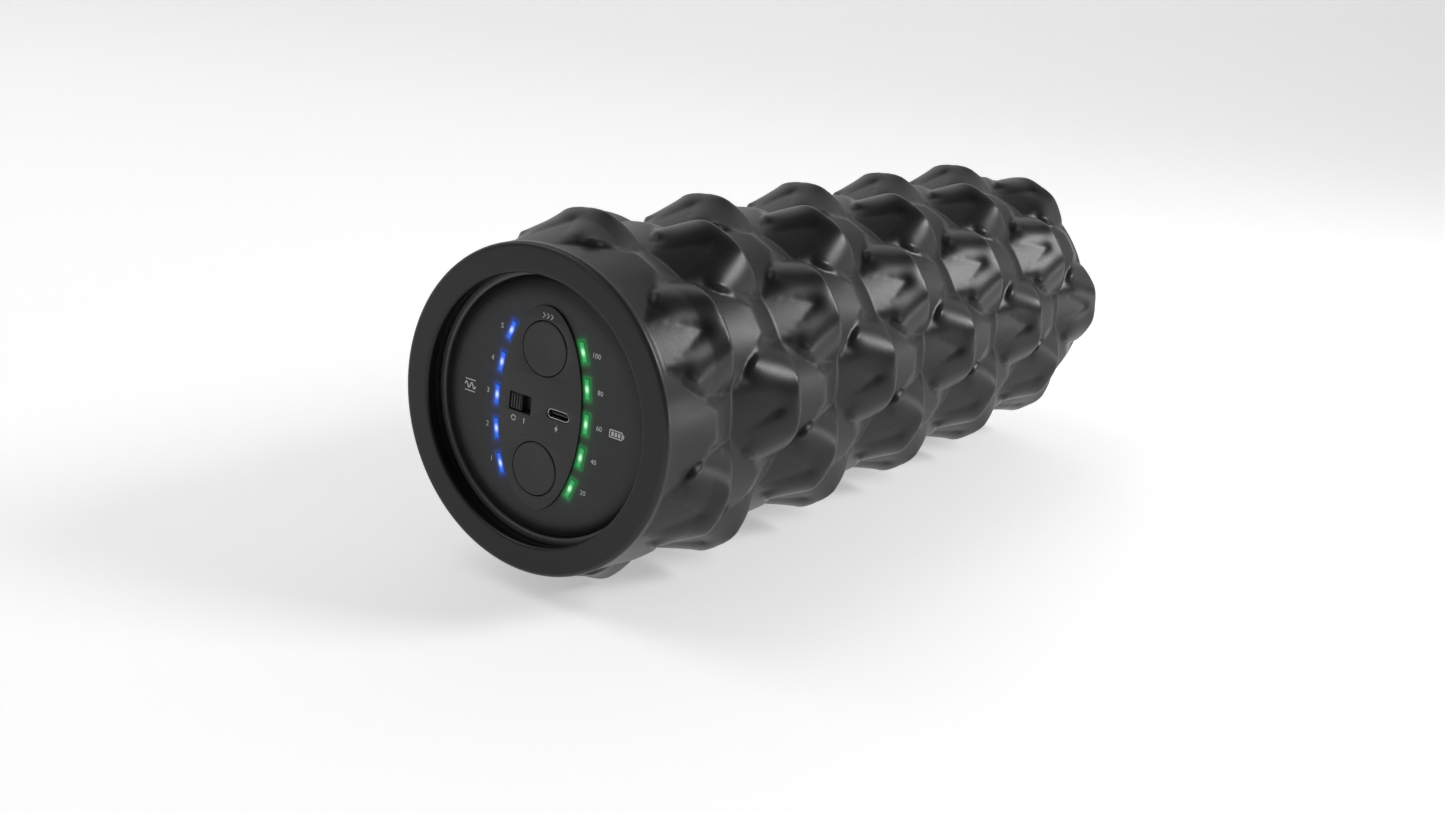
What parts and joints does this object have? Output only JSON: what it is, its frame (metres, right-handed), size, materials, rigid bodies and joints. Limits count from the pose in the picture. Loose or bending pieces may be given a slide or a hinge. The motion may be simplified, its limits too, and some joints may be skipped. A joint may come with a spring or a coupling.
{
  "type": "foam roller",
  "caption": "Vibrating massage roller: knobbed foam sleeve on a tube, recessed end panel with buttons, slide switch, USB port and light bars, motor and battery inside.",
  "frame": {"origin": "on the roller's axis, halfway between its end faces", "axes": "+Y along the axis from the control panel to the plain rear cap, +Z from the lower (power) button to the upper (mode) button, +X to the right of someone who faces the panel"},
  "size_m": [0.1236, 0.33, 0.1236],
  "materials": {
    "sleeve_foam": "satin moulded foam, near black",
    "shell_plastic": "matt moulded plastic, black",
    "trim_plastic": "satin moulded plastic, dark grey",
    "panel_plastic": "fine-grained moulded plastic, near black",
    "inlay_plastic": "satin moulded plastic, charcoal",
    "button_plastic": "satin moulded plastic, near black",
    "white_plastic": "plain white plastic",
    "part_plastic": "black component plastic",
    "black_rubber": "soft rubber",
    "frame_plastic": "glass-filled plastic",
    "circuit_board": "solder mask",
    "zinc_steel": "zinc plated",
    "weight_metal": "sintered metal",
    "magnet": "sintered ferrite",
    "copper_winding": "enamelled winding",
    "brass": "turned",
    "cell_wrap": "shrink wrap",
    "cable_skin": "silicone cable skin",
    "blue_lens": "lit lens",
    "green_lens": "lit lens"
  },
  "bodies": {
    "roller": {"massage_sleeve": "sleeve_foam", "core_tube": "shell_plastic", "front_bezel": "trim_plastic", "control_panel": "panel_plastic", "panel_inlay": "inlay_plastic", "end_gaskets": "black_rubber", "panel_screws": "zinc_steel", "button_switches": "part_plastic", "slide_switch_body": "zinc_steel", "led_lens_blue_1": "blue_lens", "led_lens_blue_2": "blue_lens", "led_lens_blue_3": "blue_lens", "led_lens_blue_4": "blue_lens", "led_lens_blue_5": "blue_lens", "led_lens_green_1": "green_lens", "led_lens_green_2": "green_lens", "led_lens_green_3": "green_lens", "led_lens_green_4": "green_lens", "led_lens_green_5": "green_lens", "led_chips": "white_plastic", "usb_shell": "zinc_steel", "usb_tongue": "part_plastic", "main_board": "circuit_board", "board_parts": "part_plastic", "board_screws": "zinc_steel", "motor_can": "zinc_steel", "motor_end_bell": "part_plastic", "motor_magnets": "magnet", "motor_brushes": "magnet", "bearing_balls": "zinc_steel", "bearing_outer_races": "zinc_steel", "front_bulkhead": "frame_plastic", "rear_bulkhead": "frame_plastic", "damping_rings": "black_rubber", "motor_saddle": "frame_plastic", "motor_clamp": "frame_plastic", "clamp_screws": "zinc_steel", "tie_rods": "zinc_steel", "battery_cells": "cell_wrap", "battery_holder_front": "frame_plastic", "battery_holder_rear": "frame_plastic", "nickel_strips": "zinc_steel", "battery_board": "circuit_board", "motor_cable": "cable_skin", "battery_cable": "cable_skin", "rear_bezel": "trim_plastic", "rear_cap": "panel_plastic", "rear_cap_screws": "zinc_steel"},
    "mode_key": {"mode_button": "button_plastic", "mode_plunger": "white_plastic"},
    "power_key": {"power_button": "button_plastic", "power_plunger": "white_plastic"},
    "speed_slider": {"slide_knob": "button_plastic"},
    "rotor": {"rotor_shaft": "zinc_steel", "armature": "copper_winding", "commutator": "brass", "front_weight": "weight_metal", "rear_weight": "weight_metal", "weight_set_screws": "zinc_steel", "bearing_inner_races": "zinc_steel"}
  },
  "joints": [
    {"name": "mode_press", "type": "slide", "parent": "roller", "child": "mode_key", "axis": [0, 1, 0], "range_m": [0, 0.0006], "stiffness_N_per_m": 600},
    {"name": "power_press", "type": "slide", "parent": "roller", "child": "power_key", "axis": [0, 1, 0], "range_m": [0, 0.0006], "stiffness_N_per_m": 600},
    {"name": "slider_slide", "type": "slide", "parent": "roller", "child": "speed_slider", "axis": [1, 0, 0], "range_m": [0, 0.004]},
    {"name": "motor_spin", "type": "hinge", "parent": "roller", "child": "rotor", "pos_m": [0, 0, 0], "axis": [0, 1, 0], "continuous": true}
  ]
}
